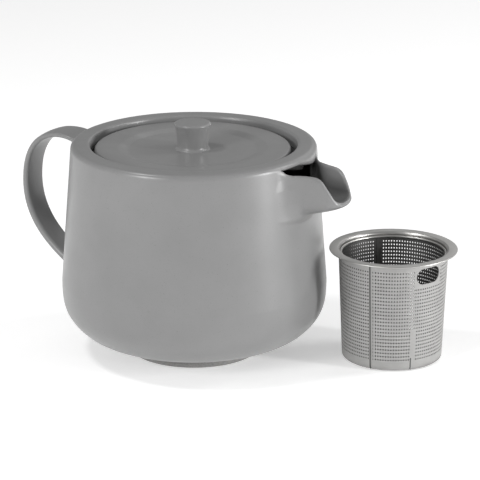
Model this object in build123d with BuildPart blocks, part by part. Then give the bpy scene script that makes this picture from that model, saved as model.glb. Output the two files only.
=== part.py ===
"""Infuser teapot: a luted pot with an open beak spout and a strap handle, a recessed lid,
and a perforated steel infuser basket that stands beside the pot.

Millimetres, +Z up. The origin is the centre of the foot's resting plane, on the pot's axis.
The spout points along +X and the handle along -X.
"""

import os
from math import cos, radians, sin

from build123d import *

# Pot shell
BELLY_R = 75.0  # largest radius, low on the pot
BELLY_Z = 42.0
SHOULDER_R = 69.0  # top of the tapered wall
RIM_Z = 121.0
RIM_EDGE_R = 3.0  # soft outer edge of the rim
WALL = 4.7
FLOOR = 4.5
MOUTH_R = 58.0  # recess that the lid lies in
RIM_DEPTH = 8.0  # height of the thick rim
RECESS_EDGE_R = 1.4

# Foot
FOOT_R = 38.0
FOOT_INNER_R = 33.0
FOOT_H = 6.0

# Gallery: the ledge for the lid and the infuser's flange
GALLERY_TOP = RIM_Z - RIM_DEPTH
GALLERY_T = 5.0
GALLERY_R = 62.0
NECK_HOLE_R = 31.5
FLANGE_SEAT_R = 37.0
FLANGE_SEAT_DEPTH = 1.4
NOTCH_R = 50.0  # the ledge is cut back this far behind the pouring window
NOTCH_W = 32.0

# Spout: an open channel with a rounded nose and a sloping mouth. Each station is a level
# section: its height, half width at the wall, nose radius and reach from the pot's axis.
SPOUT_TOP = 115.2
SPOUT_OUTSIDE = (
    (88.2, 10.5, 6.5, 67.5),
    (92.7, 14.0, 9.4, 82.6),
    (96.5, 16.6, 11.2, 93.6),
    (100.3, 17.4, 11.8, 97.0),
    (SPOUT_TOP, 17.4, 11.8, 97.4),
)
SPOUT_CHANNEL = (
    (92.5, 8.6, 5.4, 72.0),
    (96.5, 12.2, 7.8, 86.5),
    (100.5, 13.8, 8.8, 93.4),
    (SPOUT_TOP + 1, 14.2, 8.8, 94.4),
)
MOUTH_START_X = 71.0  # the top edge falls slightly from here to the corner
MOUTH_CORNER = (84.4, 114.2)
LIP = (97.0, 95.0)
WINDOW_W, WINDOW_H = 26.0, 23.0
WINDOW_BASE = 92.5

# Handle: a flat strap
STRAP_TOP_W, STRAP_MID_W, STRAP_LOW_W = 20.0, 16.0, 16.5
STRAP_TOP_T, STRAP_MID_T, STRAP_LOW_T = 3.4, 4.9, 6.0
STRAP_REACH = 106.9
STRAP_MID_Z = 85.5
STRAP_ROOT_Z = 112.7
STRAP_FOOT_Z = 36.9

# Lid
LID_R = 55.0
LID_TOP = 118.5
LID_T = 5.1
LID_DISH_R = 40.5
LID_DISH_DEPTH = 1.3
LID_OFFSET = -0.6  # the lid lies a little off centre in its recess
SKIRT_R = 28.5
SKIRT_T = 3.0
SKIRT_H = 6.0
KNOB_BASE_R = 8.9
KNOB_TOP_R = 10.2
KNOB_TOP = 132.6

# Infuser basket, standing beside the pot
BASKET_X, BASKET_Y = 105.7, 39.4
BASKET_H = 63.8
FLANGE_R = 36.0
FLANGE_T = 0.9
SHEET = 0.6
WALL_TOP_R = 30.6
WALL_FOOT_R = 28.3
WALL_CORNER_R = 2.4
NECK_H = 1.2
BEAD_R = 0.6
BASE_LEDGE_R = 23.6
SLOT_W, SLOT_H = 16.0, 9.0
SLOT_Z = 55.1
SLOT_ANGLE = -22.5


def outer_profile(floor_z):
    """Outside of the pot from the foot to the rim's edge, as one closed half outline."""
    with BuildLine(Plane.XZ) as outline:
        bottom = Line((0, floor_z), (FOOT_R, floor_z))
        belly = Spline(
            bottom @ 1,
            (FOOT_R + 12, floor_z + 2.3),
            (BELLY_R - 10, floor_z + 9.2),
            (BELLY_R - 3, floor_z + 17.6),
            (BELLY_R, BELLY_Z),
            tangents=[(1, 0.12), (0, 1)],
        )
        side = Line(belly @ 1, (SHOULDER_R, RIM_Z - RIM_EDGE_R))
        edge = ThreePointArc(
            side @ 1,
            (SHOULDER_R - RIM_EDGE_R * 0.31, RIM_Z - RIM_EDGE_R * 0.29),
            (SHOULDER_R - RIM_EDGE_R, RIM_Z),
        )
        Polyline(edge @ 1, (0, RIM_Z), bottom @ 0)
    return outline.line


def inner_profile():
    """Inside of the pot from the floor to the underside of the thick rim."""
    top_r = SHOULDER_R - WALL + 0.4
    with BuildLine(Plane.XZ) as outline:
        bottom = Line((0, FOOT_H + FLOOR), (FOOT_R + 4, FOOT_H + FLOOR))
        belly = Spline(
            bottom @ 1,
            (BELLY_R - WALL - 9, FOOT_H + 12.6),
            (BELLY_R - WALL - 2.6, FOOT_H + 21.0),
            (BELLY_R - WALL, BELLY_Z + 2),
            tangents=[(1, 0.1), (0, 1)],
        )
        Polyline(belly @ 1, (top_r, GALLERY_TOP), (0, GALLERY_TOP), bottom @ 0)
    return outline.line


def beak_section(height, half_root, nose_r, reach):
    """Level section of the spout: straight sides that close on a round nose."""
    root_x = SHOULDER_R - 15.0
    with BuildSketch(Plane.XY.offset(height)) as section:
        with BuildLine():
            left = Line((root_x, half_root + 3), (reach - nose_r, nose_r))
            nose = ThreePointArc(left @ 1, (reach, 0), (reach - nose_r, -nose_r))
            right = Line(nose @ 1, (root_x, -half_root - 3))
            Line(right @ 1, left @ 0)
        make_face()
    return section.sketch


# Solid of the pot's outside, used to trim the spout and the handle to the wall
with BuildPart() as envelope:
    with BuildSketch(Plane.XZ):
        make_face(outer_profile(FOOT_H))
    revolve(axis=Axis.Z)

with BuildPart() as pot_body:
    add(envelope.part)
    with BuildSketch(Plane.XZ) as cavity:
        make_face(inner_profile())
    revolve(axis=Axis.Z, mode=Mode.SUBTRACT)
    with BuildSketch(Plane.XY.offset(RIM_Z)):
        Circle(MOUTH_R)
    extrude(amount=-RIM_DEPTH, mode=Mode.SUBTRACT)
    rim_edges = pot_body.edges().filter_by(GeomType.CIRCLE).group_by(Axis.Z)[-1]
    fillet(rim_edges.sort_by(SortBy.RADIUS)[0], RECESS_EDGE_R)
    # Window under the rim, through which the pot pours
    with BuildSketch(Plane.YZ.offset(MOUTH_R + 1.6)):
        with Locations((0, WINDOW_BASE + WINDOW_H / 2)):
            RectangleRounded(WINDOW_W, WINDOW_H, 7)
    extrude(amount=20, mode=Mode.SUBTRACT)

with BuildPart() as foot_ring:
    with BuildSketch(Plane.XY):
        Circle(FOOT_R)
        Circle(FOOT_INNER_R, mode=Mode.SUBTRACT)
    extrude(amount=FOOT_H)
    fillet(foot_ring.edges().group_by(Axis.Z)[0], 1.0)

with BuildPart() as gallery_ring:
    with BuildSketch(Plane.XY.offset(GALLERY_TOP - GALLERY_T)):
        Circle(GALLERY_R)
        Circle(NECK_HOLE_R, mode=Mode.SUBTRACT)
    extrude(amount=GALLERY_T)
    with BuildSketch(Plane.XY.offset(GALLERY_TOP)):
        Circle(FLANGE_SEAT_R)
    extrude(amount=-FLANGE_SEAT_DEPTH, mode=Mode.SUBTRACT)
    with BuildSketch(Plane.XY.offset(GALLERY_TOP)):
        with Locations((NOTCH_R + 10, 0)):
            Rectangle(20, NOTCH_W)
    extrude(amount=-GALLERY_T, mode=Mode.SUBTRACT)
    fillet(gallery_ring.edges().filter_by(Axis.Z).filter_by_position(Axis.X, NOTCH_R - 1, NOTCH_R + 1), 4)

with BuildPart() as spout_channel:
    for station in SPOUT_CHANNEL:
        add(beak_section(*station))
    loft()

with BuildPart() as spout:
    for station in SPOUT_OUTSIDE:
        add(beak_section(*station))
    loft()
    add(spout_channel.part, mode=Mode.SUBTRACT)
    # Sloping mouth
    with BuildSketch(Plane.XZ.offset(-40)) as mouth:
        with BuildLine():
            Polyline(
                (MOUTH_START_X, SPOUT_TOP + 6),
                (MOUTH_START_X, SPOUT_TOP),
                MOUTH_CORNER,
                LIP,
                (LIP[0] + 8, LIP[1]),
                (LIP[0] + 8, SPOUT_TOP + 6),
                close=True,
            )
        make_face()
    extrude(amount=80, mode=Mode.SUBTRACT)
    add(envelope.part, mode=Mode.SUBTRACT)

with BuildPart() as handle:
    with BuildLine(Plane.XZ) as strap_line:
        upper = Bezier(
            (-SHOULDER_R + 2, STRAP_ROOT_Z),
            (-SHOULDER_R - 15, STRAP_ROOT_Z + 8),
            (-STRAP_REACH, STRAP_MID_Z + 32),
            (-STRAP_REACH, STRAP_MID_Z),
        )
        lower = Bezier(
            upper @ 1,
            (-STRAP_REACH, STRAP_MID_Z - 21.5),
            (-BELLY_R - 18, STRAP_FOOT_Z + 12),
            (-BELLY_R + 3, STRAP_FOOT_Z),
        )
    stations = (
        (upper @ 0, upper % 0, STRAP_TOP_W, STRAP_TOP_T),
        (upper @ 1, upper % 1, STRAP_MID_W, STRAP_MID_T),
        (lower @ 1, lower % 1, STRAP_LOW_W, STRAP_LOW_T),
    )
    for place, heading, width, thick in stations:
        with BuildSketch(Plane(origin=place, x_dir=(0, 1, 0), z_dir=heading)):
            RectangleRounded(width, thick, thick * 0.42)
    sweep(path=strap_line.line, multisection=True)
    add(envelope.part, mode=Mode.SUBTRACT)

with BuildPart() as lid_disc:
    with BuildSketch(Plane.XZ.shift_origin((LID_OFFSET, 0, 0))):
        with BuildLine():
            dish = LID_TOP - LID_DISH_DEPTH
            Polyline(
                (0, LID_TOP - LID_T),
                (LID_R - 2.0, LID_TOP - LID_T),
                (LID_R, LID_TOP - LID_T + 2.0),
                (LID_R, LID_TOP),
                (LID_DISH_R, LID_TOP),
                (LID_DISH_R - 5.0, dish),
                (0, dish),
                close=True,
            )
        make_face()
    revolve(axis=Axis((LID_OFFSET, 0, 0), (0, 0, 1)))
    lid_edges = lid_disc.edges().filter_by(GeomType.CIRCLE).group_by(Axis.Z)[-1]
    fillet(lid_edges.sort_by(SortBy.RADIUS)[-1], 1.5)

with BuildPart() as lid_skirt:
    with BuildSketch(Plane.XY.offset(LID_TOP - LID_T - SKIRT_H)):
        with Locations((LID_OFFSET, 0)):
            Circle(SKIRT_R)
            Circle(SKIRT_R - SKIRT_T, mode=Mode.SUBTRACT)
    extrude(amount=SKIRT_H)

with BuildPart() as lid_knob:
    with BuildSketch(Plane.XZ.shift_origin((LID_OFFSET, 0, 0))):
        with BuildLine():
            seat_z = LID_TOP - LID_DISH_DEPTH
            foot = Line((0, seat_z), (KNOB_BASE_R + 1.0, seat_z))
            flare = Spline(
                foot @ 1,
                (KNOB_BASE_R - 0.1, LID_TOP + 1.2),
                (KNOB_BASE_R + 0.35, LID_TOP + 7.0),
                (KNOB_TOP_R, KNOB_TOP - 1.4),
            )
            crown = ThreePointArc(
                flare @ 1,
                (KNOB_TOP_R - 0.5, KNOB_TOP - 0.55),
                (KNOB_TOP_R - 1.6, KNOB_TOP - 0.2),
            )
            dome = Line(crown @ 1, (0, KNOB_TOP))
            Line(dome @ 1, foot @ 0)
        make_face()
    revolve(axis=Axis((LID_OFFSET, 0, 0), (0, 0, 1)))

basket_axis = Axis((BASKET_X, BASKET_Y, 0), (0, 0, 1))
basket_plane = Plane(origin=(BASKET_X, BASKET_Y, 0), x_dir=(1, 0, 0), z_dir=(0, -1, 0))
wall_top_z = BASKET_H - FLANGE_T
neck_r = WALL_TOP_R - SHEET

with BuildPart() as infuser_rim:
    with BuildSketch(basket_plane):
        with BuildLine():
            Polyline(
                (neck_r - SHEET, wall_top_z - NECK_H),
                (neck_r, wall_top_z - NECK_H),
                (neck_r, wall_top_z),
                (FLANGE_R, wall_top_z),
                (FLANGE_R, BASKET_H),
                (neck_r - SHEET, BASKET_H),
                close=True,
            )
        make_face()
    revolve(axis=basket_axis)
    fillet(infuser_rim.edges().filter_by(GeomType.CIRCLE).sort_by(SortBy.RADIUS)[-2:], 0.35)

with BuildPart() as infuser_bead:
    with BuildSketch(basket_plane):
        with Locations((neck_r - BEAD_R - 0.1, wall_top_z - NECK_H - BEAD_R)):
            Circle(BEAD_R)
    revolve(axis=basket_axis)

with BuildPart() as infuser_wall:
    taper_top = wall_top_z - NECK_H
    inner_r = WALL_FOOT_R - SHEET
    with BuildSketch(basket_plane):
        with BuildLine():
            outside = Polyline(
                (WALL_TOP_R, wall_top_z),
                (WALL_TOP_R, taper_top),
                (WALL_FOOT_R, WALL_CORNER_R),
            )
            corner = ThreePointArc(
                outside @ 1,
                (WALL_FOOT_R - WALL_CORNER_R * 0.29, WALL_CORNER_R * 0.29),
                (WALL_FOOT_R - WALL_CORNER_R, 0),
            )
            turned_in = Polyline(corner @ 1, (BASE_LEDGE_R, 0), (BASE_LEDGE_R, SHEET))
            inner_foot = Line(turned_in @ 1, (WALL_FOOT_R - WALL_CORNER_R, SHEET))
            inner_corner = ThreePointArc(
                inner_foot @ 1,
                (inner_r - (WALL_CORNER_R - SHEET) * 0.29, SHEET + (WALL_CORNER_R - SHEET) * 0.29),
                (inner_r, WALL_CORNER_R),
            )
            Polyline(inner_corner @ 1, (neck_r, taper_top), (neck_r, wall_top_z), outside @ 0)
        make_face()
    revolve(axis=basket_axis)
    facing = (cos(radians(SLOT_ANGLE)), sin(radians(SLOT_ANGLE)), 0)
    across = (-facing[1], facing[0], 0)
    with BuildSketch(Plane(origin=(BASKET_X, BASKET_Y, SLOT_Z), x_dir=across, z_dir=facing)):
        SlotOverall(SLOT_W, SLOT_H)
    extrude(amount=WALL_TOP_R + 5, mode=Mode.SUBTRACT)

with BuildPart() as infuser_base_mesh:
    with BuildSketch(Plane.XY.offset(SHEET)):
        with Locations((BASKET_X, BASKET_Y)):
            Circle(WALL_FOOT_R - WALL_CORNER_R)
    extrude(amount=SHEET)

with BuildPart() as infuser_base_ring:
    with BuildSketch(Plane.XY.offset(2 * SHEET)):
        with Locations((BASKET_X, BASKET_Y)):
            Circle(WALL_FOOT_R - WALL_CORNER_R)
            Circle(BASE_LEDGE_R - 0.4, mode=Mode.SUBTRACT)
    extrude(amount=SHEET)

pieces = {
    "pot_body": pot_body,
    "foot_ring": foot_ring,
    "gallery_ring": gallery_ring,
    "spout": spout,
    "handle": handle,
    "lid_disc": lid_disc,
    "lid_skirt": lid_skirt,
    "lid_knob": lid_knob,
    "infuser_rim": infuser_rim,
    "infuser_bead": infuser_bead,
    "infuser_wall": infuser_wall,
    "infuser_base_mesh": infuser_base_mesh,
    "infuser_base_ring": infuser_base_ring,
}

os.makedirs("parts", exist_ok=True)
for name, piece in pieces.items():
    piece.part.label = name
    export_step(piece.part, f"parts/{name}.step")
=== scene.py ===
"""Looks of the infuser teapot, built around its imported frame.

The fired pot is one continuous surface, so its skin is made from one distance field: the
thrown wall, the beak and the strap are joined with soft fillets, hollowed, and meshed. The
mesh is then divided into body, spout and handle along the wall, with shared normals. Lid,
foot, gallery and the basket's turned parts are revolved profiles, and the basket's sheet is
really perforated. Lengths are millimetres until a mesh is made.
"""

import math

import bpy
import numpy as np
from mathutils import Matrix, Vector


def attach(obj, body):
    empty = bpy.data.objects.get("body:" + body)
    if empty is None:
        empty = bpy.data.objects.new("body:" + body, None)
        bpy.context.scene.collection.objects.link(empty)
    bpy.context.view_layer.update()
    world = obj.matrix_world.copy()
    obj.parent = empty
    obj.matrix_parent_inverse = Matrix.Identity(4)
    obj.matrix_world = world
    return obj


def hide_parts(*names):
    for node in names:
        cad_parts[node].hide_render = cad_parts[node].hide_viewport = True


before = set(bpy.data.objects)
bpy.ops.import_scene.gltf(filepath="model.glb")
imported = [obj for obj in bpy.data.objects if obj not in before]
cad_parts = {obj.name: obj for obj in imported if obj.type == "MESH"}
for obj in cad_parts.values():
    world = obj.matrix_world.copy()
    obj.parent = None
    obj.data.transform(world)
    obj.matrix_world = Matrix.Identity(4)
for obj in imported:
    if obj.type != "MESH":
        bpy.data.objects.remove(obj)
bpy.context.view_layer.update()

MM = 0.001

# Main sizes in millimetres. They are the CAD model's, to within half a millimetre.
BELLY_R, BELLY_Z = 75.0, 42.0
SHOULDER_R, RIM_Z, RIM_EDGE_R = 69.0, 121.0, 3.0
WALL, FLOOR_TOP = 4.7, 10.5
MOUTH_R, LEDGE_Z, LEDGE_UNDER_Z, LEDGE_OUTER_R = 58.0, 113.0, 108.0, 61.9
NECK_HOLE_R, SEAT_R, SEAT_Z = 31.5, 37.0, 111.6
NOTCH_R, NOTCH_HALF_ANGLE, NOTCH_SIDE_ANGLE = 50.0, 17.0, 2.5
FOOT_R, FOOT_INNER_R, FOOT_H = 38.0, 33.0, 6.0
FOOT_BURIED = 0.4  # the foot runs this far up into the pot's underside
BRIDGE_Z = 116.0  # underside of the rim over the pouring window
SPOUT_TOP, SPOUT_FULL_Z = 115.3, 100.1  # the beak is full size above SPOUT_FULL_Z
SPOUT_REACH, NOSE_R, ROOT_X, ROOT_HALF = 97.4, 12.0, 48.0, 21.8
STRAP_REACH, STRAP_MID_Z = -107.1, 85.5
LID_R, LID_TOP, LID_BASE, LID_X = 55.0, 118.5, 113.4, -0.6
DISH_Z = 117.2
SKIRT_R, SKIRT_T, SKIRT_H = 28.5, 3.0, 6.0
KNOB_WAIST_R, KNOB_R, KNOB_TOP = 8.6, 10.1, 132.6
BASKET_X, BASKET_Y = 105.7, 39.4
FLANGE_R, FLANGE_TOP, NECK_FOOT_Z = 36.0, 63.8, 61.4
SLOT_W, SLOT_H, SLOT_Z = 16.4, 9.2, 55.2


def smooth_min(a, b, k):
    """Minimum of a and b with their meeting line rounded over about k."""
    h = np.clip(0.5 + 0.5 * (b - a) / k, 0.0, 1.0)
    return b * (1 - h) + a * h - k * h * (1 - h)


def smooth_max(a, b, k):
    return -smooth_min(-a, -b, k)


def bezier(p0, p1, p2, p3, steps):
    t = np.linspace(0.0, 1.0, steps + 1)[:, None]
    p0, p1, p2, p3 = (np.array(p, float) for p in (p0, p1, p2, p3))
    s = 1 - t
    return s**3 * p0 + 3 * s**2 * t * p1 + 3 * s * t * t * p2 + t**3 * p3


def hermite(points, start, end, steps=24):
    """Smooth curve through points (a Catmull-Rom spline), with given end directions."""
    p = np.array(points, float)
    chord = np.linalg.norm(np.diff(p, axis=0), axis=1)
    slopes = np.zeros_like(p)
    for i in range(1, len(p) - 1):
        a, b = (p[i] - p[i - 1]) / chord[i - 1], (p[i + 1] - p[i]) / chord[i]
        slopes[i] = (a * chord[i] + b * chord[i - 1]) / (chord[i] + chord[i - 1])
    slopes[0], slopes[-1] = np.array(start, float), np.array(end, float)
    slopes /= np.linalg.norm(slopes, axis=1)[:, None]
    out = [p[:1]]
    for i, length in enumerate(chord):
        a, b = p[i], p[i + 1]
        leave, arrive = a + slopes[i] * length / 3, b - slopes[i + 1] * length / 3
        out.append(bezier(a, leave, arrive, b, steps)[1:])
    return np.vstack(out)


def arc(centre, radius, start, end, steps):
    """Arc in the (r, z) plane; start and end are in degrees."""
    t = np.radians(np.linspace(start, end, steps + 1))
    return np.c_[centre[0] + radius * np.cos(t), centre[1] + radius * np.sin(t)]


# ---------------------------------------------------------------- the pot's distance field

CHUNK = 20000  # points measured at a time, which bounds the memory used
AXIS_SIDE = -8.0  # outlines run past the axis to here, so that it lies well inside
ABOVE = 140.0  # height, over the rim, at which the hollow's outline is closed


class RevolvedField:
    """Signed distance to a closed (r, z) outline, kept in a fine table."""

    STEP, R_MAX, Z_MIN, Z_MAX = 0.25, 84.0, -3.0, 126.0

    def __init__(self, outline):
        r = np.arange(0.0, self.R_MAX, self.STEP)
        z = np.arange(self.Z_MIN, self.Z_MAX, self.STEP)
        grid = np.stack(np.meshgrid(r, z, indexing="ij"), axis=-1).reshape(-1, 2)
        closed = np.vstack([outline, outline[:1]])
        values = np.empty(len(grid))
        for first in range(0, len(grid), CHUNK):
            part = slice(first, first + CHUNK)
            values[part] = self._distance(grid[part], closed)
        self.table = values.reshape(len(r), len(z))

    @staticmethod
    def _distance(points, closed):
        a, b = closed[:-1], closed[1:]
        ab = b - a
        ap = points[:, None, :] - a[None]
        t = np.clip((ap * ab).sum(-1) / np.maximum((ab * ab).sum(-1), 1e-12), 0, 1)
        gap = ap - t[..., None] * ab
        distance = np.sqrt((gap * gap).sum(-1).min(axis=1))
        py = points[:, None, 1]
        spans = (a[None, :, 1] > py) != (b[None, :, 1] > py)
        rise = np.where(ab[:, 1] == 0, 1e-12, ab[:, 1])
        cross = points[:, None, 0] < a[None, :, 0] + (py - a[None, :, 1]) * ab[:, 0] / rise
        inside = (spans & cross).sum(axis=1) % 2 == 1
        return np.where(inside, -distance, distance)

    def __call__(self, r, z):
        rows, columns = self.table.shape
        u = np.clip(r / self.STEP, 0, rows - 1.001)
        v = np.clip((z - self.Z_MIN) / self.STEP, 0, columns - 1.001)
        i, j = u.astype(int), v.astype(int)
        u, v = u - i, v - j
        t = self.table
        low = t[i, j] * (1 - u) + t[i + 1, j] * u
        high = t[i, j + 1] * (1 - u) + t[i + 1, j + 1] * u
        return low * (1 - v) + high * v


belly = hermite(
    [
        (FOOT_R, FOOT_H),
        (FOOT_R + 12, FOOT_H + 2.3),
        (BELLY_R - 10, FOOT_H + 9.2),
        (BELLY_R - 3, FOOT_H + 17.6),
        (BELLY_R, BELLY_Z),
    ],
    (1, 0.12),
    (0, 1),
)
outside = RevolvedField(
    np.vstack(
        [
            [(AXIS_SIDE, FOOT_H)],
            belly,
            arc((SHOULDER_R - RIM_EDGE_R, RIM_Z - RIM_EDGE_R), RIM_EDGE_R, 4, 90, 16),
            [(AXIS_SIDE, RIM_Z)],
        ]
    )
)
inner_belly = hermite(
    [
        (FOOT_R + 4, FLOOR_TOP),
        (BELLY_R - WALL - 9, FOOT_H + 12.6),
        (BELLY_R - WALL - 2.6, FOOT_H + 21.0),
        (BELLY_R - WALL, BELLY_Z + 2),
    ],
    (1, 0.1),
    (0, 1),
)
cavity = RevolvedField(
    np.vstack(
        [
            [(AXIS_SIDE, FLOOR_TOP)],
            inner_belly,
            [(SHOULDER_R - WALL + 0.4, LEDGE_Z), (MOUTH_R, LEDGE_Z)],
            [(MOUTH_R, ABOVE), (AXIS_SIDE, ABOVE)],
        ]
    )
)


def beak(x, y, z, side, tip, lift, spread):
    """Level sections of the beak: straight sides that flare into the wall and close on a
    round nose. Lower down the sections draw back to the wall, which slopes the underside.
    The channel is the same shape, moved in by side and tip and up by lift."""
    low = smooth_min(np.clip((SPOUT_FULL_Z + lift - z) / 10.8, 0, 2) ** 1.93, 1.4, 0.5)
    nose_r = NOSE_R - side - 4.6 * low
    reach = SPOUT_REACH - tip - 28.9 * low
    root_half = ROOT_HALF - 1.3 * side - 2.6 * low
    flare = spread * np.clip((78.0 - x) / 11.5, 0, 1.3) ** 2
    bx, by = np.maximum(reach - nose_r - ROOT_X, 1.0), nose_r - root_half
    px = x - ROOT_X
    py = np.maximum(np.abs(y) - flare, 0) + by
    t = np.clip((px * bx + py * by) / (bx * bx + by * by), 0, 1)
    gap = np.hypot(px - t * bx, py - t * by)
    below = (py * bx - px * by < 0) & (px < bx)
    return np.where(below, -gap, gap) - nose_r


def beak_distance(x, y, z, *shape):
    """The beak's level-section distance, corrected for the slope of its underside."""
    f = beak(x, y, z, *shape)
    slope = (beak(x, y, z + 0.2, *shape) - beak(x, y, z - 0.2, *shape)) / 0.4
    return f / np.sqrt(1 + slope * slope)


# The strap's centre line, from its root under the rim, out to its reach, and in to its foot
strap_out = (STRAP_REACH, STRAP_MID_Z)
strap_line = np.vstack(
    [
        bezier((-67, 112.7), (-84, 120.7), (STRAP_REACH, 117.5), strap_out, 70),
        bezier(strap_out, (STRAP_REACH, 64), (-93, 48.9), (-72, 36.9), 70)[1:],
    ]
)
strap_run = np.r_[0, np.cumsum(np.linalg.norm(np.diff(strap_line, axis=0), axis=1))]
strap_run /= strap_run[-1]
STRAP_AT = (0.0, 0.06, 0.14, 0.3, 0.5, 0.8, 1.0)
STRAP_WIDTH = (24.0, 21.0, 19.2, 18.0, 17.4, 17.2, 18.0)
STRAP_THICK = (3.8, 3.4, 3.5, 4.4, 5.1, 5.6, 6.2)
STRAP_CORNER, STRAP_CROWN = 0.33, 0.33  # edge radius and edge thinning, per thickness


def strap(x, y, z):
    """Distance to the strap: an oval section that is thickest along its middle."""
    a, b = strap_line[:-1], strap_line[1:]
    ab = b - a
    length2 = (ab * ab).sum(1)
    out = np.empty(len(x))
    for first in range(0, len(x), CHUNK):
        part = slice(first, first + CHUNK)
        p = np.c_[x[part], z[part]]
        ap = p[:, None, :] - a[None]
        t = np.clip((ap * ab).sum(-1) / length2, 0, 1)
        gap = ap - t[..., None] * ab
        d2 = (gap * gap).sum(-1)
        k = d2.argmin(axis=1)
        rows = np.arange(len(k))
        run = strap_run[k] + t[rows, k] * (strap_run[k + 1] - strap_run[k])
        off = np.sqrt(d2[rows, k])
        width = np.interp(run, STRAP_AT, STRAP_WIDTH)
        thick = np.interp(run, STRAP_AT, STRAP_THICK)
        corner = thick * STRAP_CORNER
        across = np.clip(np.abs(y[part]) / (width / 2), 0, 1)
        qn = off - thick / 2 * (1.0 - STRAP_CROWN * across**2) + corner
        qy = np.abs(y[part]) - width / 2 + corner
        within = np.minimum(np.maximum(qn, qy), 0)
        out[part] = np.hypot(np.maximum(qn, 0), np.maximum(qy, 0)) + within - corner
    return out


STRAP_FILLET = 7.0
INNER_EDGE, BRIDGE_EDGE, MOUTH_EDGE, CHANNEL_EDGE = 1.7, 2.6, 3.2, 2.0
WINDOW_SILL_Z = 91.5


def pot_field(p):
    """Distance to the fired pot: wall, beak and strap, less the hollow and the channel. The
    rim is added last, so that it bridges the pouring window."""
    x, y, z = p[:, 0], p[:, 1], p[:, 2]
    r = np.hypot(x, y)
    wall = outside(r, z)
    hollow = cavity(r, z)
    solid = wall.copy()
    bridge = BRIDGE_Z + 1.3 - 3.9 * np.clip((y + 4.0) / 18.0, 0, 1)
    bridge = bridge - 0.24 * np.clip(67.5 - r, 0, 9)
    rim = smooth_max(smooth_max(wall, -hollow, INNER_EDGE), bridge - z, BRIDGE_EDGE)

    front = (x > 46) & (z > 74)
    xf, yf, zf = x[front], y[front], z[front]
    slant = (xf - 84.5 - 2.0 * np.clip(yf / 10, 0, 1)) * 0.833 + (zf - 114.6) * 0.553
    mouth = smooth_max(slant, zf - SPOUT_TOP + 0.05 * (xf - 70.0), MOUTH_EDGE)
    shell = smooth_max(beak_distance(xf, yf, zf, 0.0, 0.0, 0.0, 2.2), mouth, CHANNEL_EDGE)
    fillet = 4.0 + 2.0 * np.clip((113.0 - zf) / 6.0, 0, 1)
    fillet = fillet + 2.0 * np.clip((97.0 - zf) / 9.0, 0, 1)
    solid[front] = smooth_min(wall[front], shell, fillet)

    back = (x < -50) & (np.abs(y) < 21)
    solid[back] = smooth_min(solid[back], strap(x[back], y[back], z[back]), STRAP_FILLET)

    solid = smooth_max(solid, -hollow, INNER_EDGE)
    channel = beak_distance(xf, yf, zf, 2.7, 1.2, 2.5, 4.2)
    channel = smooth_max(channel, WINDOW_SILL_Z - zf, 3.0)
    solid[front] = smooth_max(solid[front], -channel, CHANNEL_EDGE)
    return np.minimum(solid, rim)


SLOPE_STEP, MAX_MOVE = 0.25, 0.8


def gradient(p):
    g = np.empty_like(p)
    for axis in range(3):
        step = np.zeros(3)
        step[axis] = SLOPE_STEP
        g[:, axis] = (pot_field(p + step) - pot_field(p - step)) / (2 * SLOPE_STEP)
    return g


def onto_surface(p, rounds):
    """Newton steps that bring points onto the surface, each at most MAX_MOVE long."""
    for _ in range(rounds):
        g = gradient(p)
        f = pot_field(p)
        move = -(f / np.maximum((g * g).sum(1), 0.05))[:, None] * g
        length = np.linalg.norm(move, axis=1)[:, None]
        p = p + move * np.minimum(1, MAX_MOVE / np.maximum(length, 1e-9))
    return p


def surface_net(lo, hi, h):
    """Quads round the zero surface of pot_field: one point in each cell that it crosses."""
    axes = [np.arange(a, b, h) for a, b in zip(lo, hi)]
    shape = tuple(len(a) for a in axes)
    f = np.empty(shape, np.float32)
    yy, zz = np.meshgrid(axes[1], axes[2], indexing="ij")
    for i, x in enumerate(axes[0]):
        p = np.c_[np.full(yy.size, x), yy.ravel(), zz.ravel()]
        f[i] = pot_field(p).reshape(yy.shape)
    s = f < 0
    cells = tuple(n - 1 for n in shape)
    count = np.zeros(cells, np.int8)
    corners = [(a, b, c) for a in (0, 1) for b in (0, 1) for c in (0, 1)]
    for a, b, c in corners:
        count += s[a : cells[0] + a, b : cells[1] + b, c : cells[2] + c]
    ijk = np.argwhere((count > 0) & (count < 8))
    index = np.full(cells, -1, np.int64)
    index[tuple(ijk.T)] = np.arange(len(ijk))
    total, hits = np.zeros((len(ijk), 3)), np.zeros(len(ijk))
    for a in corners:
        for axis in range(3):
            if a[axis]:
                continue
            b = list(a)
            b[axis] = 1
            fa, fb = f[tuple((ijk + a).T)], f[tuple((ijk + b).T)]
            cut = (fa < 0) != (fb < 0)
            t = np.where(cut, fa / np.where(cut, fa - fb, 1), 0)
            point = ijk + np.array(a, float)
            point[:, axis] += t
            total[cut] += point[cut]
            hits[cut] += 1
    points = np.array([a[0] for a in axes]) + total / hits[:, None] * h
    quads = []
    for axis in range(3):
        u, v = (axis + 1) % 3, (axis + 2) % 3
        first = [slice(0, n) for n in shape]
        second = [slice(0, n) for n in shape]
        first[axis], second[axis] = slice(0, -1), slice(1, None)
        sa, sb = s[tuple(first)], s[tuple(second)]
        for rising in (True, False):
            edges = np.argwhere((sa & ~sb) if rising else (~sa & sb))
            keep = (edges[:, u] > 0) & (edges[:, v] > 0)
            keep &= (edges[:, u] < shape[u] - 1) & (edges[:, v] < shape[v] - 1)
            edges = edges[keep]
            ring = []
            for du, dv in ((-1, -1), (0, -1), (0, 0), (-1, 0)):
                cell = edges.copy()
                cell[:, u] += du
                cell[:, v] += dv
                ring.append(index[tuple(cell.T)])
            ring = np.stack(ring, axis=1)
            quads.append(ring if rising else ring[:, ::-1])
    return points, np.vstack(quads)


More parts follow.
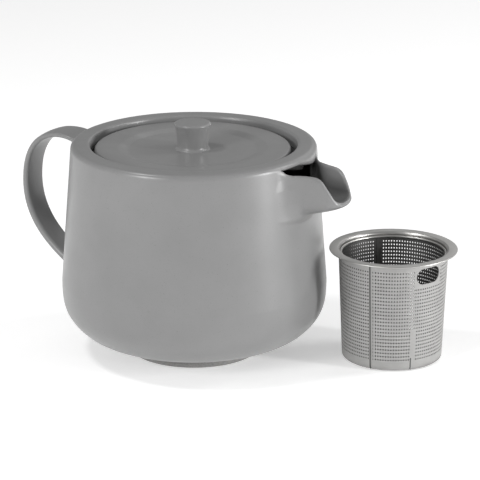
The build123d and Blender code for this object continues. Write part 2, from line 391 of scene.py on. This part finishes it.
def relax(points, quads, rounds=3):
    """Evens the spacing of the points, keeping them on the surface."""
    a = quads[:, [0, 1, 2, 3]].ravel()
    b = quads[:, [1, 2, 3, 0]].ravel()
    for _ in range(rounds):
        total = np.zeros_like(points)
        for axis in range(3):
            total[:, axis] = np.bincount(a, points[b, axis], len(points))
        total /= np.bincount(a, minlength=len(points))[:, None]
        points = onto_surface(0.4 * points + 0.6 * total, 1)
    return onto_surface(points, 1)


def refine(points, quads):
    """Divides each quad in four. New points go onto the surface, except on the open border."""
    edges = np.stack([quads, np.roll(quads, -1, axis=1)], axis=-1).reshape(-1, 2)
    edges = np.sort(edges, axis=1)
    unique, back, counts = np.unique(edges, axis=0, return_inverse=True, return_counts=True)
    middles = points[unique].mean(axis=1)
    inner = counts > 1
    middles[inner] = onto_surface(middles[inner], 1)
    centres = onto_surface(points[quads].mean(axis=1), 1)
    first_mid, first_centre = len(points), len(points) + len(unique)
    mid = first_mid + back.reshape(-1, 4)
    centre = first_centre + np.arange(len(quads))
    parts = [
        np.stack([quads[:, i], mid[:, i], centre, mid[:, i - 1]], axis=1) for i in range(4)
    ]
    return np.vstack([points, middles, centres]), np.vstack(parts)


def mesh_object(name, points, faces, normals=None):
    mesh = bpy.data.meshes.new(name)
    corners = [list(map(int, face)) for face in faces]
    mesh.from_pydata((np.asarray(points) * MM).tolist(), [], corners)
    mesh.polygons.foreach_set("use_smooth", [True] * len(mesh.polygons))
    mesh.update()
    if normals is not None:
        mesh.normals_split_custom_set_from_vertices([tuple(n) for n in normals])
    made = bpy.data.objects.new(name, mesh)
    bpy.context.scene.collection.objects.link(made)
    return made


def compact(points, quads):
    """Drops the points that no quad uses."""
    used, back = np.unique(quads, return_inverse=True)
    return points[used], back.reshape(quads.shape)


NET_LO, NET_HI = (-112, -77, 3), (100, 77, 123.5)
NET_STEP, QUICK_STEP = 1.12, 2.2
PROUD = 0.12  # skin that stands this far off the thrown wall is spout or handle


def pot_pieces():
    """The pot's skin, divided into body, spout and handle where it leaves the thrown wall."""
    points, quads = surface_net(NET_LO, NET_HI, NET_STEP)
    points = relax(points, quads)
    middle = points[quads].mean(axis=1)
    proud = outside(np.hypot(middle[:, 0], middle[:, 1]), middle[:, 2]) > PROUD
    made = []
    for name, chosen in (
        ("pot_body_skin", ~proud),
        ("spout_skin", proud & (middle[:, 0] > 0)),
        ("handle_skin", proud & (middle[:, 0] < 0)),
    ):
        part_points, part_quads = compact(points, quads[chosen])
        if name != "pot_body_skin":
            part_points, part_quads = refine(part_points, part_quads)
        normals = gradient(part_points)
        normals /= np.linalg.norm(normals, axis=1)[:, None]
        made.append(mesh_object(name, part_points, part_quads, normals))
    return made


# ---------------------------------------------------------------- turned pieces


ARC_HANDLE = 0.55  # handle length with which a Bezier curve runs close to an arc


def rounded(corners, steps=6):
    """A profile from corners (r, z, radius), with each corner rounded by an arc-like curve."""
    out = []
    count = len(corners)
    for i, (r, z, radius) in enumerate(corners):
        p = np.array((r, z), float)
        if radius == 0 or i in (0, count - 1):
            out.append(p[None])
            continue
        a = np.array(corners[i - 1][:2], float) - p
        b = np.array(corners[i + 1][:2], float) - p
        la, lb = np.linalg.norm(a), np.linalg.norm(b)
        half = math.acos(np.clip((a @ b) / (la * lb), -1, 1)) / 2
        back = min(radius / math.tan(half), la * 0.49, lb * 0.49)
        start, end = p + a / la * back, p + b / lb * back
        leave, arrive = start + (p - start) * ARC_HANDLE, end + (p - end) * ARC_HANDLE
        out.append(bezier(start, leave, arrive, end, steps))
    return np.vstack(out)


def revolve(name, profile, centre=(0.0, 0.0), segments=160, closed=True):
    """Turns an (r, z) profile round a vertical axis. Points on the axis become one point."""
    t = np.linspace(0, 2 * math.pi, segments, endpoint=False)
    points, rings = [], []
    for r, z in profile:
        if r < 1e-6:
            rings.append([len(points)] * segments)
            points.append((centre[0], centre[1], z))
        else:
            rings.append(list(range(len(points), len(points) + segments)))
            points.extend((centre[0] + r * math.cos(a), centre[1] + r * math.sin(a), z) for a in t)
    faces = []
    pairs = list(zip(rings[:-1], rings[1:]))
    if closed:
        pairs.append((rings[-1], rings[0]))
    for low, high in pairs:
        for i in range(segments):
            j = (i + 1) % segments
            face = [low[i], low[j], high[j], high[i]]
            face = [v for k, v in enumerate(face) if v != face[k - 1]]
            if len(face) > 2:
                faces.append(face)
    return mesh_object(name, points, faces)


# ---------------------------------------------------------------- perforated sheet


# Corners and edge middles of a cell, anticlockwise, and the border points along each side
BORDER = [(0.5, 0), (0.5, 0.5), (0, 0.5), (-0.5, 0.5)]
BORDER += [(-u, -v) for u, v in BORDER]
SIDES = (((1, 0), (7, 0, 1)), ((-1, 0), (3, 4, 5)), ((0, 1), (1, 2, 3)), ((0, -1), (5, 6, 7)))
PLAIN, HOLE, SEAM, ABSENT, OPENED = 0, 1, 2, -1, -2
OUTER_FACE, SEAM_SHADE_LINE, PAINTED_SHADE_FACE = 0, 1, 2  # finishes of the sheet: outer face, a dark line painted along each seam as shade, and painted shade on the inner or under face, the hole walls and the cut edges
SQUARENESS = 0.7  # power that turns a round hole into a square one with soft corners


class Sheet:
    """A thin sheet laid out in square cells, each plain, pierced, seamed or absent.
    place(u, v, side) maps a sheet position to a point."""

    def __init__(self, kinds, place, hole):
        self.place, self.points, self.faces, self.finish, self.lookup = place, [], [], [], {}
        columns, rows = kinds.shape
        piercing = []
        for k in range(8):
            turn = (math.cos(math.pi * k / 4), math.sin(math.pi * k / 4))
            corner = [math.copysign(abs(q) ** SQUARENESS, q) * h for q, h in zip(turn, hole)]
            piercing.append(corner)
        for i in range(columns):
            for j in range(rows):
                if kinds[i, j] < 0:
                    continue
                self.cell(i + 0.5, j + 0.5, kinds[i, j], piercing)
                for step, ends in SIDES:
                    ni, nj = i + step[0], j + step[1]
                    beyond = not (0 <= ni < columns and 0 <= nj < rows)
                    if beyond or kinds[ni, nj] == ABSENT:
                        self.edge(i + 0.5, j + 0.5, ends)

    def node(self, u, v, side):
        """Index of the shared point at (u, v) on one side of the sheet."""
        key = (round(u * 2), round(v * 2), side)
        if key not in self.lookup:
            self.lookup[key] = len(self.points)
            self.points.append(self.place(u, v, side))
        return self.lookup[key]

    def add(self, face, side, finish=None):
        self.faces.append(face if side == 0 else face[::-1])
        # side 1 gets the painted shade finish unless another finish is given
        self.finish.append(finish or (PAINTED_SHADE_FACE if side else OUTER_FACE))

    def cell(self, u, v, kind, piercing):
        rims = []
        for side in (0, 1):
            outer = [self.node(u + a, v + b, side) for a, b in BORDER]
            if kind == PLAIN:
                self.add(outer, side)
            elif kind == SEAM:
                self.add([outer[k] for k in (0, 1, 2, 6, 7)], side)
                # one half of a seam cell carries a dark line painted as shade along the seam
                self.add([outer[k] for k in (2, 3, 4, 5, 6)], side, SEAM_SHADE_LINE)
            else:
                first = len(self.points)
                self.points.extend(self.place(u + a, v + b, side) for a, b in piercing)
                rims.append(range(first, first + 8))
                for k in range(8):
                    m = (k + 1) % 8
                    self.add([outer[k], outer[m], rims[side][m], rims[side][k]], side)
        if kind == HOLE:
            # the hole walls get the painted shade finish too
            for k in range(8):
                m = (k + 1) % 8
                self.add([rims[0][k], rims[0][m], rims[1][m], rims[1][k]], 0, PAINTED_SHADE_FACE)

    def edge(self, u, v, ends):
        for a, b in zip(ends[:-1], ends[1:]):
            corners = [(BORDER[a], 0), (BORDER[b], 0), (BORDER[b], 1), (BORDER[a], 1)]
            # side 1 gives the cut edges the painted shade finish
            self.add([self.node(u + p, v + q, side) for (p, q), side in corners], 1)

    def opening(self, loop, outline):
        """Fills between a ring of cell corners and an opening's outline, one point for each."""
        first = len(self.points)
        for side in (0, 1):
            self.points.extend(self.place(u, v, side) for u, v in outline)
        count = len(loop)
        for k in range(count):
            m = (k + 1) % count
            for side in (0, 1):
                a, b = self.node(*loop[k], side), self.node(*loop[m], side)
                c, d = first + side * count + m, first + side * count + k
                self.add([a, b, c, d], side)
            self.add([first + k, first + m, first + count + m, first + count + k], 0)

    def build(self, name):
        made = mesh_object(name, self.points, self.faces)
        made.data.polygons.foreach_set("material_index", self.finish)
        made.data.set_sharp_from_angle(angle=math.radians(35))
        return made


# ---------------------------------------------------------------- the pieces

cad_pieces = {}  # node: (piece, body that it rides on, material slot)
body_skin, spout_skin, handle_skin = pot_pieces()
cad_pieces["pot_body"] = (body_skin, "pot", "grey_glaze")
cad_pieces["spout"] = (spout_skin, "pot", "grey_glaze")
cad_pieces["handle"] = (handle_skin, "pot", "grey_glaze")

foot = revolve(
    "foot_ring_turned",
    rounded(
        [
            (FOOT_INNER_R, FOOT_H + FOOT_BURIED, 0),
            (FOOT_INNER_R + 0.6, 0.9, 0.8),
            (FOOT_INNER_R + 1.2, 0.0, 0.8),
            (FOOT_R - 1.4, 0.0, 1.2),
            (FOOT_R, 1.8, 2.0),
            (FOOT_R, FOOT_H + FOOT_BURIED, 0),
        ]
    ),
)
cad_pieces["foot_ring"] = (foot, "pot", "bare_foot")

# Ledge, cut back behind the pouring window
ledge_profile = rounded(
    [
        (46, LEDGE_UNDER_Z, 0),
        (NECK_HOLE_R, LEDGE_UNDER_Z, 1.6),
        (NECK_HOLE_R, SEAT_Z, 0.8),
        (SEAT_R, SEAT_Z, 0.5),
        (SEAT_R, LEDGE_Z, 0.7),
        (LEDGE_OUTER_R, LEDGE_Z, 0),
        (LEDGE_OUTER_R, LEDGE_UNDER_Z, 0.8),
        (46, LEDGE_UNDER_Z, 0),
    ]
)[:-1]
gallery = revolve("gallery_ring_turned", ledge_profile, segments=240)
ledge = gallery.data
where = np.empty(len(ledge.vertices) * 3)
ledge.vertices.foreach_get("co", where)
where = where.reshape(-1, 3)
ring_r, turn = np.hypot(where[:, 0], where[:, 1]), np.arctan2(where[:, 1], where[:, 0])
in_notch = math.radians(NOTCH_HALF_ANGLE) - np.abs(turn)
in_notch = np.clip(in_notch / math.radians(NOTCH_SIDE_ANGLE), 0, 1)
cut_back = np.minimum(ring_r, NOTCH_R * MM) * in_notch + ring_r * (1 - in_notch)
where[:, :2] *= (cut_back / ring_r)[:, None]
ledge.vertices.foreach_set("co", where.ravel())
ledge.update()
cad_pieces["gallery_ring"] = (gallery, "pot", "grey_glaze")

lid = revolve(
    "lid_disc_turned",
    rounded(
        [
            (0, LID_BASE, 0),
            (LID_R - 2.0, LID_BASE, 1.2),
            (LID_R, LID_BASE + 2.0, 1.0),
            (LID_R, LID_TOP, 1.6),
            (41.5, LID_TOP, 7.0),
            (36.0, DISH_Z, 7.0),
            (0, DISH_Z, 0),
        ]
    ),
    (LID_X, 0),
)
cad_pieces["lid_disc"] = (lid, "lid", "grey_glaze")
skirt = revolve(
    "lid_skirt_turned",
    rounded(
        [
            (SKIRT_R - SKIRT_T, LID_BASE + 0.3, 0),
            (SKIRT_R - SKIRT_T, LID_BASE - SKIRT_H, 1.2),
            (SKIRT_R, LID_BASE - SKIRT_H, 1.2),
            (SKIRT_R, LID_BASE + 0.3, 0),
        ]
    ),
    (LID_X, 0),
)
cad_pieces["lid_skirt"] = (skirt, "lid", "grey_glaze")
# The knob: a fillet out of the dish, a waist that flares upward, a soft edge, a crowned top
knob_foot, waist = (10.2, DISH_Z - 0.2), (KNOB_WAIST_R, DISH_Z + 2.6)
knob_side, knob_edge = (KNOB_R, 130.9), (8.9, 132.4)
knob = revolve(
    "lid_knob_turned",
    np.vstack(
        [
            [(0, DISH_Z - 0.2)],
            bezier(knob_foot, (9.0, DISH_Z + 0.3), (8.55, DISH_Z + 1.2), waist, 8),
            bezier(waist, (8.65, 124.0), (9.3, 127.5), knob_side, 12)[1:],
            bezier(knob_side, (10.4, 132.1), (9.9, 132.35), knob_edge, 8)[1:],
            bezier(knob_edge, (6.0, 132.55), (3.0, KNOB_TOP), (0, KNOB_TOP), 6)[1:],
        ]
    ),
    (LID_X, 0),
    closed=False,
)
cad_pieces["lid_knob"] = (knob, "lid", "grey_glaze")

# Basket: flange and neck in one turned sheet, then the bead, the sheet wall and the base
basket = (BASKET_X, BASKET_Y)
rim = revolve(
    "infuser_rim_turned",
    rounded(
        [
            (30.4, NECK_FOOT_Z, 0),
            (30.4, 62.7, 0.6),
            (31.2, 63.1, 0.6),
            (FLANGE_R, 63.1, 0.33),
            (FLANGE_R, FLANGE_TOP, 0.36),
            (31.0, FLANGE_TOP, 0.8),
            (30.0, 62.9, 0.8),
            (30.0, NECK_FOOT_Z, 0),
        ]
    ),
    basket,
    segments=180,
)
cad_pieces["infuser_rim"] = (rim, "infuser", "steel_rim")
bead = revolve("infuser_bead_rolled", arc((29.4, 61.2), 0.75, 0, 337.5, 15), basket)
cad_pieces["infuser_bead"] = (bead, "infuser", "steel_rim")

# The sheet: a ledge turned in under the base, a rounded corner, plain margins and 26 rows of
# holes. It is rolled from the seam and ends lapped inside its own start.
TURN, LAP, ROWS = 124, 1, 32
FIELD = (4, 30)
# Height of the cell rows from the foot of the holes upward: holes, margin, neck
ROW_AT, ROW_Z = (FIELD[0], FIELD[1], 31, ROWS), (5.8, 59.2, 61.0, 62.9)
SHEET_T, CORNER_R, SEAM_AZ = 0.42, 2.4, -88.0
SHEET_FOOT_R, SHEET_NECK_R, LEDGE_IN_R = 28.3, 30.75, 23.6
LAP_DEPTH, SKIN_GAP = 0.48, 0.04  # how far the lapped end lies inside, and all of the sheet
PITCH = 2 * math.pi * 30.0 / TURN
SIDE_SEAM_AZ, SHORT_SEAM_AZ, SLOT_AZ = 134, -44, -23


def sheet_place(u, v, side):
    """Point of the rolled sheet at column u and row v; side 1 is the inner face."""
    corner_x = SHEET_FOOT_R - CORNER_R
    if v <= 1:
        r, z, n = LEDGE_IN_R + 2.3 * v, 0.0, (0.0, -1.0)
    elif v < 3:
        a = math.radians(-90 + 45 * (v - 1))
        n = (math.cos(a), math.sin(a))
        r, z = corner_x + CORNER_R * n[0], CORNER_R + CORNER_R * n[1]
    else:
        z = float(np.interp(v, (3, *ROW_AT), (CORNER_R, *ROW_Z)))
        taper = (CORNER_R, ROW_Z[2], ROW_Z[3]), (SHEET_FOOT_R, SHEET_NECK_R, SHEET_NECK_R)
        r, n = float(np.interp(z, *taper)), (1.0, 0.0)
    dive = float(np.clip(u - TURN + 1.0, 0, 1)) * LAP_DEPTH + SKIN_GAP
    r, z = r - n[0] * (side * SHEET_T + dive), z - n[1] * (side * SHEET_T + dive)
    a = math.radians(SEAM_AZ + 360 * u / TURN)
    return (BASKET_X + r * math.cos(a), BASKET_Y + r * math.sin(a), z)


def column(azimuth):
    """Cell column nearest an azimuth in degrees."""
    return round((azimuth - SEAM_AZ) / 360 * TURN)


kinds = np.zeros((TURN + LAP, ROWS), int)
kinds[0 : TURN - 1, FIELD[0] : FIELD[1]] = HOLE
side_seam, short_seam, slot_u = column(SIDE_SEAM_AZ), column(SHORT_SEAM_AZ), column(SLOT_AZ)
kinds[side_seam - 2 : side_seam + 1, FIELD[0] : FIELD[1]] = PLAIN
kinds[side_seam, :] = SEAM
kinds[short_seam : short_seam + 2, FIELD[0] : FIELD[0] + 9] = PLAIN
kinds[short_seam, 0 : FIELD[0] + 1] = SEAM
kinds[TURN - 1, :] = SEAM
kinds[TURN:, 0:2] = ABSENT
block = (slot_u - 6, 25, slot_u + 6, 31)  # cells taken out round the slot
kinds[block[0] : block[2], block[1] : block[3]] = OPENED
sheet = Sheet(kinds, sheet_place, (0.215, 0.24))

loop = [(u / 2, block[1]) for u in range(2 * block[0], 2 * block[2])]
loop += [(block[2], v / 2) for v in range(2 * block[1], 2 * block[3])]
loop += [(u / 2, block[3]) for u in range(2 * block[2], 2 * block[0], -1)]
loop += [(block[0], v / 2) for v in range(2 * block[3], 2 * block[1], -1)]

# The slot's outline, found by bisection on the line from its middle to each loop point
outline = []
for u, v in loop:
    dx = (u - slot_u) * PITCH
    dz = float(np.interp(v, ROW_AT, ROW_Z)) - SLOT_Z
    low, high = 0.0, 1.0
    for _ in range(30):
        t = (low + high) / 2
        out = math.hypot(max(abs(dx * t) - (SLOT_W - SLOT_H) / 2, 0), dz * t) > SLOT_H / 2
        low, high = (low, t) if out else (t, high)
    row = float(np.interp(SLOT_Z + dz * low, ROW_Z, ROW_AT))
    outline.append((slot_u + dx * low / PITCH, row))
sheet.opening(loop, outline)
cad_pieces["infuser_wall"] = (sheet.build("infuser_wall_sheet"), "infuser", "steel_mesh")

# The base: a disc of square cells, held between the turned-in ledge and a pressed ring
BASE_PITCH, BASE_CELLS = 1.7, 30
BASE_FIELD_R, BASE_R, BASE_RING_IN_R, BASE_RING_OUT_R = 22.8, 24.6, 23.2, 25.9
spot = (np.arange(BASE_CELLS) + 0.5 - BASE_CELLS / 2) * BASE_PITCH
reach = np.hypot(spot[:, None], spot[None])
base_kinds = np.where(reach < BASE_FIELD_R, HOLE, np.where(reach < BASE_R, PLAIN, ABSENT))
base = Sheet(
    base_kinds,
    lambda u, v, side: (
        BASKET_X + (u - BASE_CELLS / 2) * BASE_PITCH,
        BASKET_Y + (v - BASE_CELLS / 2) * BASE_PITCH,
        1.15 - 0.5 * side,
    ),
    (0.27, 0.27),
)
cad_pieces["infuser_base_mesh"] = (base.build("infuser_base_sheet"), "infuser", "steel_mesh")
base_ring = revolve(
    "infuser_base_ring_pressed",
    rounded(
        [
            (24.5, 1.2, 0),
            (BASE_RING_OUT_R, 1.2, 0.1),
            (BASE_RING_OUT_R, 1.8, 0.3),
            (BASE_RING_IN_R, 1.8, 0.3),
            (BASE_RING_IN_R, 1.2, 0.1),
            (24.5, 1.2, 0),
        ]
    )[:-1],
    basket,
)
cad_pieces["infuser_base_ring"] = (base_ring, "infuser", "steel_rim")

for node, (piece, ride_on, finish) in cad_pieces.items():
    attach(piece, ride_on)
    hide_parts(node)

# ---------------------------------------------------------------- materials


class Finish:
    """A Principled material with helpers for the few node kinds used here."""

    def __init__(self, name, colour, metallic, roughness):
        self.made = bpy.data.materials.new(name)
        self.made.use_nodes = True
        self.tree = self.made.node_tree
        self.shader = self.tree.nodes["Principled BSDF"]
        self.shader.inputs["Base Color"].default_value = (*colour, 1)
        self.shader.inputs["Metallic"].default_value = metallic
        self.shader.inputs["Roughness"].default_value = roughness

    def node(self, kind, **values):
        made = self.tree.nodes.new(kind)
        for key, value in values.items():
            if hasattr(made, key):
                setattr(made, key, value)
            else:
                made.inputs[key.replace("_", " ")].default_value = value
        return made

    def link(self, source, target):
        self.tree.links.new(source, target)

    def coordinates(self, offset=(0, 0, 0), scale=(1, 1, 1)):
        source, mapping = self.node("ShaderNodeTexCoord"), self.node("ShaderNodeMapping")
        mapping.inputs["Location"].default_value = offset
        mapping.inputs["Scale"].default_value = scale
        self.link(source.outputs["Object"], mapping.inputs["Vector"])
        return mapping.outputs["Vector"]

    def noise(self, coordinates, scale, detail):
        made = self.node("ShaderNodeTexNoise", Scale=scale, Detail=detail)
        self.link(coordinates, made.inputs["Vector"])
        return made.outputs["Fac"]

    def remap(self, value, low, high, to_low, to_high):
        limits = {"From_Min": low, "From_Max": high, "To_Min": to_low, "To_Max": to_high}
        made = self.node("ShaderNodeMapRange", **limits)
        self.link(value, made.inputs["Value"])
        return made.outputs["Result"]

    def blend(self, amount, first, second):
        """Colour between first and second; either may be a colour or another node's output."""
        made = self.node("ShaderNodeMix", data_type="RGBA")
        self.link(amount, made.inputs["Factor"])
        for socket, colour in ((made.inputs[6], first), (made.inputs[7], second)):
            if isinstance(colour, tuple):
                socket.default_value = (*colour, 1)
            else:
                self.link(colour, socket)
        return made.outputs[2]

    def bump(self, height, distance, strength, under=None):
        made = self.node("ShaderNodeBump", Strength=strength, Distance=distance)
        self.link(height, made.inputs["Height"])
        if under is not None:
            self.link(under, made.inputs["Normal"])
        return made.outputs["Normal"]

    def use(self, colour, roughness, normal):
        for source, target in (
            (colour, "Base Color"),
            (roughness, "Roughness"),
            (normal, "Normal"),
        ):
            self.link(source, self.shader.inputs[target])
        return self.made


def shade(colour, factor):
    return tuple(factor * c for c in colour)


def glaze_finish():
    """Satin glaze: slow changes of tone, fine dark specks, and a faint orange-peel surface."""
    f = Finish("grey_glaze_satin", GLAZE, 0.0, 0.4)
    at = f.coordinates()
    cloud = f.remap(f.noise(at, 38, 4), 0.3, 0.7, 0, 1)
    speck = f.remap(f.noise(at, 1500, 2), 0.66, 0.72, 0, 1)
    tone = f.blend(cloud, shade(GLAZE, 0.955), shade(GLAZE, 1.035))
    colour = f.blend(speck, tone, shade(GLAZE, 0.80))
    roughness = f.remap(f.noise(at, 90, 3), 0.3, 0.7, 0.29, 0.35)
    peel = f.bump(f.noise(at, 260, 2), 0.00006, 0.5)
    return f.use(colour, roughness, f.bump(f.noise(at, 1600, 2), 0.00001, 0.5, peel))


def clay_finish():
    """Bare fired clay with a fine open grain."""
    f = Finish("bare_foot_clay", CLAY, 0.0, 0.85)
    at = f.coordinates()
    grain = f.noise(at, 900, 5)
    fired = f.remap(grain, 0.35, 0.65, 0, 1)
    colour = f.blend(fired, shade(CLAY, 0.86), shade(CLAY, 1.1))
    return f.use(colour, f.remap(grain, 0.3, 0.7, 0.78, 0.92), f.bump(grain, 0.00008, 0.6))


def steel_finish(name, colour, roughness, turned, grain, metallic=1.0):
    """Stainless steel. Turned steel has rings about the basket's axis; sheet has a fine grain."""
    f = Finish(name, colour, metallic, roughness)
    at = f.coordinates((-BASKET_X * MM, -BASKET_Y * MM, 0))
    if turned:
        split = f.node("ShaderNodeSeparateXYZ")
        f.link(at, split.inputs[0])
        flat = f.node("ShaderNodeCombineXYZ")
        f.link(split.outputs[0], flat.inputs[0])
        f.link(split.outputs[1], flat.inputs[1])
        radius = f.node("ShaderNodeVectorMath", operation="LENGTH")
        f.link(flat.outputs[0], radius.inputs[0])
        ring = f.node("ShaderNodeCombineXYZ")
        f.link(radius.outputs["Value"], ring.inputs[0])
        f.link(split.outputs[2], ring.inputs[1])
        lines = f.noise(ring.outputs[0], grain, 3)
    else:
        lines = f.noise(f.coordinates((0, 0, 0), (1, 1, 6)), grain, 3)
    smear = f.remap(f.noise(at, 120, 3), 0.3, 0.7, 0, 1)
    tone = f.blend(smear, shade(colour, 0.93), shade(colour, 1.04))
    rough = f.remap(lines, 0.3, 0.7, roughness - 0.07, roughness + 0.07)
    return f.use(tone, rough, f.bump(lines, 0.00003, 0.5))


GLAZE, CLAY = (0.205, 0.205, 0.205), (0.23, 0.228, 0.222)
# The third colour on the next line is painted shade: the sheet's inner or under faces, hole walls
# and edges drawn darker.
STEEL, SHEET, PAINTED_SHADE_STEEL = (0.52, 0.515, 0.50), (0.34, 0.337, 0.33), (0.14, 0.139, 0.136)
# Painted shade: the dark line along the seams.
SEAM_PAINTED_SHADE = (0.10, 0.10, 0.098)
finishes = {
    "grey_glaze": glaze_finish(),
    "bare_foot": clay_finish(),
    "steel_rim": steel_finish("steel_turned", STEEL, 0.36, True, 1500),
    "steel_mesh": steel_finish("steel_sheet", SHEET, 0.58, False, 500, 0.4),
}
# Painted shade: the dark line along the seams
seam_shade_finish = steel_finish("steel_seam_painted_shade", SEAM_PAINTED_SHADE, 0.55, False, 500)
# Painted shade: the sheet's inner or under faces, hole walls and edges drawn darker
painted_shade_finish = steel_finish("steel_sheet_painted_shade", PAINTED_SHADE_STEEL, 0.5, False, 500)
for node, (piece, ride_on, finish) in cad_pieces.items():
    piece.data.materials.append(finishes[finish])
    if finish == "steel_mesh":
        piece.data.materials.append(seam_shade_finish)
        piece.data.materials.append(painted_shade_finish)

# ---------------------------------------------------------------- camera, light, floor

ELEVATION, AZIMUTH, DISTANCE = math.radians(17.506), math.radians(28.0), 1.5
aim_right, aim_height = 0.026142, 0.063249
right = Vector((math.cos(AZIMUTH), math.sin(AZIMUTH), 0))
target = right * aim_right + Vector((0, 0, aim_height))
toward = Vector(
    (
        math.sin(AZIMUTH) * math.cos(ELEVATION),
        -math.cos(AZIMUTH) * math.cos(ELEVATION),
        math.sin(ELEVATION),
    )
)
camera_data = bpy.data.cameras.new("camera")
camera = bpy.data.objects.new("camera", camera_data)
bpy.context.scene.collection.objects.link(camera)
camera.location = target + toward * DISTANCE
camera.rotation_mode = "QUATERNION"
camera.rotation_quaternion = (-toward).to_track_quat("-Z", "Y")
camera_data.sensor_width = 36
camera_data.lens = 198.9
HALF_PIXEL = 0.5 / 480
camera_data.shift_x, camera_data.shift_y = -HALF_PIXEL, HALF_PIXEL
bpy.context.scene.camera = camera

FLOOR_HALF, FLOOR_DROP = 4.0, 0.0002
FLOOR_GLOW, WORLD_GLOW = 0.35, 0.32
floor_mesh = bpy.data.meshes.new("floor")
floor_plan = ((-1, -1), (1, -1), (1, 1), (-1, 1))
floor_corners = [(x * FLOOR_HALF, y * FLOOR_HALF, 0) for x, y in floor_plan]
floor_mesh.from_pydata(floor_corners, [], [(0, 1, 2, 3)])
floor = bpy.data.objects.new("floor", floor_mesh)
floor.location.z = -FLOOR_DROP
bpy.context.scene.collection.objects.link(floor)
floor_finish = Finish("floor_white", (0.88, 0.88, 0.88), 0.0, 0.9)
floor_finish.shader.inputs["Emission Color"].default_value = (1, 1, 1, 1)
floor_finish.shader.inputs["Emission Strength"].default_value = FLOOR_GLOW
floor.data.materials.append(floor_finish.made)

world = bpy.data.worlds.new("world")
bpy.context.scene.world = world
world.use_nodes = True
background = world.node_tree.nodes["Background"]
background.inputs["Color"].default_value = (1, 1, 1, 1)
background.inputs["Strength"].default_value = WORLD_GLOW
bpy.context.scene.view_settings.view_transform = "Standard"


AIM_Z = 0.06  # height that the lights are aimed at


def softbox(name, azimuth, elevation, distance, size, power):
    """An area light aimed at the pot; azimuth is measured from the camera, to its right."""
    a = AZIMUTH + math.radians(azimuth)
    e = math.radians(elevation)
    place = Vector((math.sin(a) * math.cos(e), -math.cos(a) * math.cos(e), math.sin(e)))
    place *= distance
    data = bpy.data.lights.new(name, "AREA")
    data.shape = "RECTANGLE"
    data.size, data.size_y = size
    data.energy = power
    light = bpy.data.objects.new(name, data)
    light.location = place + Vector((0, 0, AIM_Z))
    light.rotation_mode = "QUATERNION"
    light.rotation_quaternion = (-place).to_track_quat("-Z", "Y")
    bpy.context.scene.collection.objects.link(light)


softbox("right", 68, 9, 1.5, (0.16, 0.52), 15)
softbox("left", -44, 20, 1.6, (0.5, 0.5), 13)
softbox("left_high", -76, 62, 1.3, (0.20, 0.20), 4.1)
softbox("right_rear", 100, 34, 1.4, (0.4, 0.4), 4.5)
softbox("rear", 155, 30, 1.8, (1.1, 0.8), 1.8)
